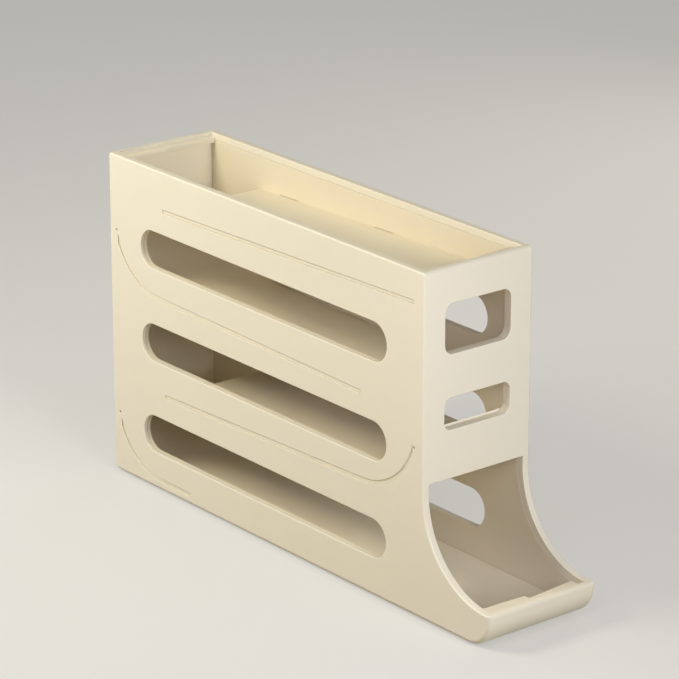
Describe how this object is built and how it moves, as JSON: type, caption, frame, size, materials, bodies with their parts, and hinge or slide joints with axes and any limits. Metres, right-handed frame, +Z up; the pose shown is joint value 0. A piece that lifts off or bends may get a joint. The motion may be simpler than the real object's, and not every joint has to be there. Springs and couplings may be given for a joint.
{
  "type": "egg holder",
  "caption": "Narrow upright gravity-feed rack with sloping switchback tracks, open top, slotted sides and a swept front mouth with a low retaining lip.",
  "frame": {"origin": "centre of the footprint on the surface the feet stand on", "axes": "+X along the length towards the mouth, +Y across the width towards the far long side, +Z up"},
  "size_m": [0.3586, 0.08, 0.209],
  "materials": {
    "shell_plastic": "satin",
    "track_plastic": "satin",
    "foot_rubber": "matte"
  },
  "bodies": {
    "root": {"outer_shell": "shell_plastic", "near_track_frame": "track_plastic", "far_track_frame": "track_plastic", "top_track": "track_plastic", "second_track": "track_plastic", "third_track": "track_plastic", "bottom_track": "track_plastic", "base_plate": "shell_plastic", "foot_1": "foot_rubber", "foot_2": "foot_rubber", "foot_3": "foot_rubber", "foot_4": "foot_rubber"}
  },
  "joints": []
}
